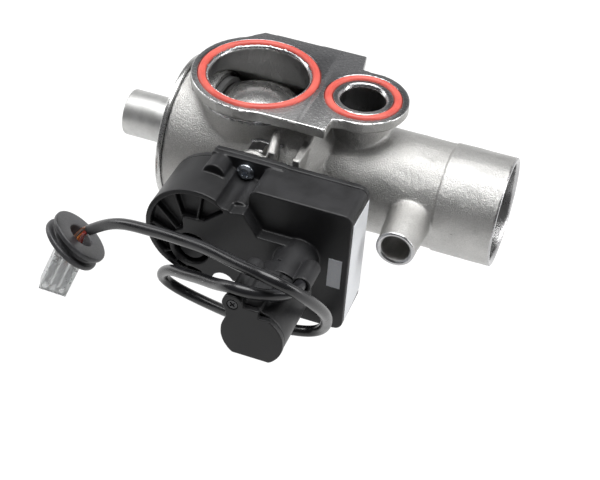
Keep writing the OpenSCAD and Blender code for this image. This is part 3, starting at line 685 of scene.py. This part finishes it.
BOARD = moulded("board_laminate", (0.015, 0.12, 0.05), (0.03, 0.20, 0.09), (0.3, 0.45), 0.3, 0.01)
BOARD_PARTS = moulded(
    "board_part_plastic", (0.70, 0.70, 0.66), (0.84, 0.84, 0.80), (0.35, 0.5), 0.6, 0.01
)
SWITCH = moulded("switch_plastic", (0.02, 0.02, 0.022), (0.05, 0.05, 0.055), (0.35, 0.5), 0.5, 0.02)
PLUNGER = moulded(
    "plunger_plastic", (0.45, 0.05, 0.04), (0.60, 0.10, 0.07), (0.3, 0.45), 0.5, 0.01
)
JACKET_PVC = moulded(
    "jacket_pvc", (0.007, 0.007, 0.008), (0.013, 0.013, 0.015), (0.24, 0.34), 1.2, 0.02
)
RED_PVC = moulded("wire_red_pvc", (0.42, 0.02, 0.015), (0.58, 0.04, 0.03), (0.3, 0.4), 0.8, 0.01)
ORANGE_PVC = moulded(
    "wire_orange_pvc", (0.66, 0.17, 0.02), (0.80, 0.26, 0.05), (0.3, 0.4), 0.8, 0.01
)
BROWN_PVC = moulded(
    "wire_brown_pvc", (0.13, 0.045, 0.02), (0.20, 0.08, 0.04), (0.3, 0.4), 0.8, 0.01
)
LABEL = label_paper()
NYLON = nylon()

# ---------------------------------------------------------------- casting
# Where the casting's surfaces change, in millimetres. A pair of numbers is a smooth change.
FACE_Z = (-0.6, -0.25)  # up to the sealing face
FACED_FROM_Z = -0.35
TURNED_TUBE_X = (91.3, 91.7)  # where the outlet tube's turned end starts
TUBE_RIM_X = (118.6, 119.0)
BARREL_RIM_X = (32.2, 32.6)  # toward -X
LARGE_ZONE_R, LARGE_ZONE_Z = 29.5, -9
SMALL_ZONE_R, SMALL_ZONE_Z = 18, -7
WALL_Z = -1.5
BORE_SHADE_FROM = (1.4, 1.8)  # where the bores' painted shade starts, below the sealing face
PAD_TOP, PAD_ABOVE = (22.2, 22.4), 23.5  # above the ball's centre
PAD_Y, PAD_X = -24, (7.5, 22)
NOZZLE_RIM_Y = (44.0, 44.4)  # toward -Y
NOZZLE_X, NOZZLE_R = 82.2, 11
OUTLET_BORE_R, OUTLET_BORE_X = 22.9, 31
COLLAR_HALF, COLLAR_R = 2.6, 33.2
PLATE_Z = (-5.4, -4.4)  # up from the flange's underside
BRACKET_X, BRACKET_Y, BRACKET_ABOVE = (6, 36), (-38, -22), (6, 28)  # the bracket's pads
CRISP_TUBE_X = (90.8, 91.2)
CRISP_FLANGE_Z = -5.8
FRONT_EDGE_Y = -27.5
EDGE_END_Z = (-0.7, -0.2)
# Shares of the rounding that are taken away, and the least that stays.
CUT_KEPT, PLATE_KEPT, COLLAR_KEPT, LEAST_SOFT = 0.93, 0.7, 0.55, 0.05
# Waves: height and size in metres, and seed.
EDGE_WAVES = (0.00016, 0.0032, 5)
SKIN_WAVES = (0.00012, 0.009, 3)
FINE_WAVES = (0.00005, 0.0025, 4)


def within(values, limits):
    """True between the two limits."""
    return (values > limits[0]) * (values < limits[1])


def port_distances(x, y):
    """How far points are from the axes of the large and the small port."""
    return np.hypot(x, y), np.hypot(x - SMALL_PORT[0], y - SMALL_PORT[1])


def casting_cut(co):
    """1 on machined faces, 0 on the cast skin. Heights are from the sealing face."""
    x, y, z = (co / MM).T
    above = z - BALL_Z
    top = step(z, *FACE_Z)
    outlet = 0.12 * step(x, *TURNED_TUBE_X) + 0.8 * step(x, *TUBE_RIM_X)
    left = step(-x, *BARREL_RIM_X)
    large_r, small_r = port_distances(x, y)
    wall = (large_r < LARGE_BORE_R) + (small_r < SMALL_BORE_R)
    large_zone = (large_r < LARGE_ZONE_R) * (z > LARGE_ZONE_Z)
    small_zone = (small_r < SMALL_ZONE_R) * (z > SMALL_ZONE_Z)
    bores = (large_zone + small_zone) * (1 - 0.8 * wall * (z < WALL_Z))
    pad = step(above, *PAD_TOP) * (above < PAD_ABOVE) * (y < PAD_Y) * within(x, PAD_X)
    nozzle = step(-y, *NOZZLE_RIM_Y) * (np.hypot(x - NOZZLE_X, above) < NOZZLE_R)
    inner = (np.hypot(y, above) < OUTLET_BORE_R) * (x > OUTLET_BORE_X)
    return np.clip(top + outlet + left + bores + pad + nozzle + 0.6 * inner, 0, 1)


def bore_shade_mask(co):
    """Painted shade: 1 in the two ports' bores, whose walls the light hardly reaches, 0 elsewhere.
    """
    x, y, z = (co / MM).T
    large_r, small_r = port_distances(x, y)
    inside = (large_r < LARGE_BORE_R) * 1.0 + (small_r < SMALL_BORE_R)
    return np.clip(inside * step(-z, *BORE_SHADE_FROM), 0, 1)


def casting_softness(co):
    """Full rounding on the cast skin, little on machined faces, the flange and the right collar."""
    x, y, z = (co / MM).T
    collar = (np.abs(x - BARREL_RIM_X[0]) < COLLAR_HALF) * (np.hypot(y, z - BALL_Z) > COLLAR_R)
    kept = CUT_KEPT * casting_cut(co) + PLATE_KEPT * step(z, *PLATE_Z)
    return np.clip(1 - np.clip(kept, 0, CUT_KEPT) - COLLAR_KEPT * collar, LEAST_SOFT, 1)


def casting_crisp(co):
    """1 where the skin keeps to the CAD: machined faces, outlet, flange and the bracket's pads."""
    x, y, z = (co / MM).T
    above = z - BALL_Z
    bracket = within(x, BRACKET_X) * within(y, BRACKET_Y) * within(above, BRACKET_ABOVE)
    outlet = step(x, *CRISP_TUBE_X)
    flange = z > CRISP_FLANGE_Z
    return np.clip(casting_cut(co) + 0.85 * bracket + outlet + 0.85 * flange, 0, 1)


def casting_uneven(co):
    """The cast skin's waves, and a rougher front edge on the flange, in metres."""
    x, y, z = (co / MM).T
    front_edge = (z > PLATE_Z[0]) * (y < FRONT_EDGE_Y)
    rough_edge = waves(co, *EDGE_WAVES) * front_edge * (1 - step(z, *EDGE_END_Z))
    skin = waves(co, *SKIN_WAVES) + waves(co, *FINE_WAVES)
    return (1 - casting_cut(co)) * skin + rough_edge


casting = refined(
    "valve_body", "casting", 0.46, 16, casting_softness, casting_uneven, casting_crisp
)
mask(casting, "machined", casting_cut(read_points(casting.data)))
# the mask of the bores' painted shade
mask(casting, "painted_bore_shade", bore_shade_mask(read_points(casting.data)))
paint(casting, BODY_STEEL)
casting.data.materials.append(FACED_STEEL.mat)
for face in casting.data.polygons:
    if face.center.z > FACED_FROM_Z * MM:
        face.material_index = 1

# ---------------------------------------------------------------- cap, ball and seals
EDGE_R = 0.9  # of the cap's and the grommet's corners
SEAL_D = 3.6
LARGE_SEAL_R, SMALL_SEAL_R = 25.75, 15.45
SEAL_GROOVE = 2.7
SEAL_Z = -BALL_Z - SEAL_GROOVE + SEAL_D / 2
SEAL_PARTS = 28
RING_SIDES = 160
FLASH = 0.05

# Outlines are (along the axis, radius) in millimetres. The cap's axis is X, from the ball's centre.
cap_profile = soft_profile(
    [
        (-35.5, 8.5), (-63.5, 8.8), (-63.5, 11), (-36.5, 11), (-35.5, 12.2), (-35.5, 35),
        (-33, 35), (-33, 30.9), (-19.1, 30.9), (-19.1, 28.3), (-30, 28.3), (-30, 22.4),
        (-33.1, 20.4), (-33.1, 8.5),
    ],
    EDGE_R,
)
cap = lathe("cap", cap_profile, placed((0, 0, 0), (0, 90, 0)), RING_SIDES)
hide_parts("end_cap")
paint(cap, TURNED)

ball = refined("ball", "polished_ball", 0.6, 3)
paint(ball, POLISH)


def seal_ring(name, node, centre, radius):
    """A round red seal with the faint flash line of its mould."""
    outline = []
    for k in range(SEAL_PARTS):
        a = 2 * math.pi * k / SEAL_PARTS
        r = SEAL_D / 2 + (FLASH if k in (0, SEAL_PARTS // 2) else 0.0)
        outline.append((r * math.sin(a), radius - r * math.cos(a)))
    ring = lathe(name, outline, placed(centre), RING_SIDES)
    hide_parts(node)
    paint(ring, SILICONE)


seal_ring("large_seal", "large_port_ring", (0, 0, SEAL_Z), LARGE_SEAL_R)
seal_ring("small_seal", "small_port_ring", (*SMALL_PORT, SEAL_Z), SMALL_SEAL_R)

# ---------------------------------------------------------------- drive
CASE_WAVES = (0.00002, 0.012, 8)


def case_uneven(co):
    """The slight waves of a moulded wall, in metres."""
    return waves(co, *CASE_WAVES)


case = refined("gear_case", "drive_case", 0.36, 3, uneven=case_uneven)
paint(case, CASE)
cover = refined("back_cover", "rear_cover", 0.42, 4, uneven=case_uneven, most_faces=90_000)
paint(cover, CASE)
sleeve = refined("motor_sleeve", "motor_tube", 0.4, 3, most_faces=60_000)
paint(sleeve, SLEEVE)
end_plate = refined("motor_cap", "motor_end_plate", 0.25, 4, most_faces=60_000)
paint(end_plate, SLEEVE)
drive_screws = refined("mount_screws", "drive_screws", 0.16, 3, most_faces=60_000)
paint(drive_screws, ZINC)
plate_screw = refined("motor_cap_screw", "plate_screw", 0.12, 3, most_faces=30_000)
paint(plate_screw, DARK_SCREW)

# CAD nodes that stay as they are, with their finishes.
KEPT = {
    "cap_seal": RUBBER, "seat_right": SEAT, "seat_left": SEAT, "seat_springs": RUBBER,
    "stem": PIN, "thrust_washer": PTFE, "stem_bush": PTFE, "stem_rings": RUBBER,
    "output_gear": ACETAL, "switch_cam": CAM, "low_idler": ACETAL, "high_idler": ACETAL,
    "gear_axles": PIN, "motor_pinion": BRASS, "motor_shaft": PIN, "motor_can": ZINC,
    "cover_screws": ZINC, "circuit_board": BOARD, "board_parts": BOARD_PARTS,
    "closed_switch": SWITCH, "open_switch": SWITCH, "closed_plunger": PLUNGER,
    "open_plunger": PLUNGER, "side_label": LABEL, "front_label": LABEL, "plug_terminals": TIN,
}
for node, finish in KEPT.items():
    paint_node(node, finish)

# ---------------------------------------------------------------- lead's pieces
GROMMET_SIDES = 96
WIRE_OUT = 1.1  # from the jacket's axis to each wire's
WIDER, WIDEST = 1.6, 1.8  # how the wires part after the jacket, as shares of WIRE_OUT
THROUGH_GROMMET = 7  # where the wires gather, before the grommet's middle
INTO_PLUG = 5

paint(lead, JACKET_PVC)

grommet_axis = leaned(GROMMET_LEAN) @ Vector((0, 0, 1))
plug_axis = leaned(PLUG_LEAN) @ Vector((0, 0, 1))
plug_side = leaned(PLUG_LEAN) @ Vector((1, 0, 0))

grommet_profile = soft_profile(
    [
        (-4, 6.2), (-4, 14.5), (-1.6, 14.5), (-1.6, 11.5), (1.6, 11.5), (1.6, 14.5),
        (4, 14.5), (4, 6.2),
    ],
    EDGE_R,
)
grommet = lathe("rubber_grommet", grommet_profile, placed(GROMMET, GROMMET_LEAN), GROMMET_SIDES)
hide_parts("grommet")
paint(grommet, GROMMET_RUBBER)

plug = refined("plug_housing", "plug_body", 0.22, 3, most_faces=90_000)
paint(plug, NYLON)


def wire(name, node, k, finish):
    """A wire from the jacket's end through the grommet to terminal k, which is -1, 0 or 1."""
    start = Vector(JACKET[-1])
    turn = math.radians(120 * k)
    side = Vector((0, WIRE_OUT * math.cos(turn), WIRE_OUT * math.sin(turn)))
    points = [
        start + Vector((0.6, 0, 0.6)) + side,
        start - Vector((5, -1, 2)) + WIDER * side,
        GROMMET - THROUGH_GROMMET * grommet_axis + WIDEST * side,
        GROMMET + PITCH / 2 * k * plug_side,
        GROMMET + PLUG_GAP * plug_axis + PITCH * k * plug_side,
        GROMMET + (PLUG_GAP + INTO_PLUG) * plug_axis + PITCH * k * plug_side,
    ]
    obj = flexible(name, points, WIRE_D, WIRE_SIDES)[0]
    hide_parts(node)
    paint(obj, finish)
    return obj


wires = [
    wire("red_wire", "wire_red", -1, RED_PVC),
    wire("orange_wire", "wire_orange", 0, ORANGE_PVC),
    wire("brown_wire", "wire_brown", 1, BROWN_PVC),
]

# ---------------------------------------------------------------- stage and light
FLOOR_HALF = 4.0
FLOOR_FRONT = -0.36  # the floor stops here, so its light doesn't reach the front from below
FLOOR_GAP = 0.004
MIDDLE = (0.03, -0.04, -0.04)
# Each light's name, place, width and height in metres, and power in watts.
LIGHTS = [
    ("top_light", (0.02, 0.00, 0.62), (0.60, 0.44), 7.5),
    ("left_light", (-0.60, 0.05, 0.30), (0.22, 0.60), 1.6),
    ("right_light", (0.70, 0.15, 0.22), (0.20, 0.55), 2.4),
]
ROOM_DARK, ROOM_WHITE = (0.13, 0.13, 0.135), (1.0, 1.0, 1.0)
ROOM_STRENGTH = 0.9
SWEEP_BEHIND = (-0.05, 0.55)  # the white sweep grows toward +Y between these directions
SWEEP_LOW = (0.30, 0.58)  # and fades upward between these


def make_floor():
    """A white floor that is lit of itself."""
    low = cad_box[0].z - FLOOR_GAP
    bm = bmesh.new()
    bmesh.ops.create_grid(bm, x_segments=8, y_segments=8, size=FLOOR_HALF)
    bmesh.ops.translate(bm, verts=bm.verts, vec=(0, FLOOR_HALF + FLOOR_FRONT, low))
    data = bpy.data.meshes.new("floor")
    bm.to_mesh(data)
    bm.free()
    floor = bpy.data.objects.new("floor", data)
    scene.collection.objects.link(floor)
    f = Finish("floor_white", (0.08, 0.08, 0.08), 0.9)
    f.set(Emission_Color=(1, 1, 1, 1), Emission_Strength=1.0)
    data.materials.append(f.mat)
    floor.visible_diffuse = False


def area(name, place, size, power):
    """A rectangular light turned to the middle of the object."""
    data = bpy.data.lights.new(name, "AREA")
    data.shape = "RECTANGLE"
    data.size, data.size_y = size
    data.energy = power
    obj = bpy.data.objects.new(name, data)
    scene.collection.objects.link(obj)
    obj.location = place
    obj.rotation_mode = "QUATERNION"
    obj.rotation_quaternion = (Vector(MIDDLE) - Vector(place)).to_track_quat("-Z", "Y")


def make_room():
    """A white sweep behind the object, low down, and a dark room elsewhere."""
    world = bpy.data.worlds.new("studio")
    scene.world = world
    world.use_nodes = True
    room = Patterns(world.node_tree, "Generated")
    behind = room.spread(room.part(1), *SWEEP_BEHIND)
    low = room.spread(room.part(2), *SWEEP_LOW, 1.0, 0.0)
    sky = room.tree.nodes["Background"]
    shade = room.mixed(room.math("MULTIPLY", behind, low), ROOM_DARK, ROOM_WHITE)
    room.link(shade, sky.inputs["Color"])
    sky.inputs["Strength"].default_value = ROOM_STRENGTH


make_floor()
for light in LIGHTS:
    area(*light)
make_room()

scene.view_settings.view_transform = "Standard"
scene.view_settings.look = "None"
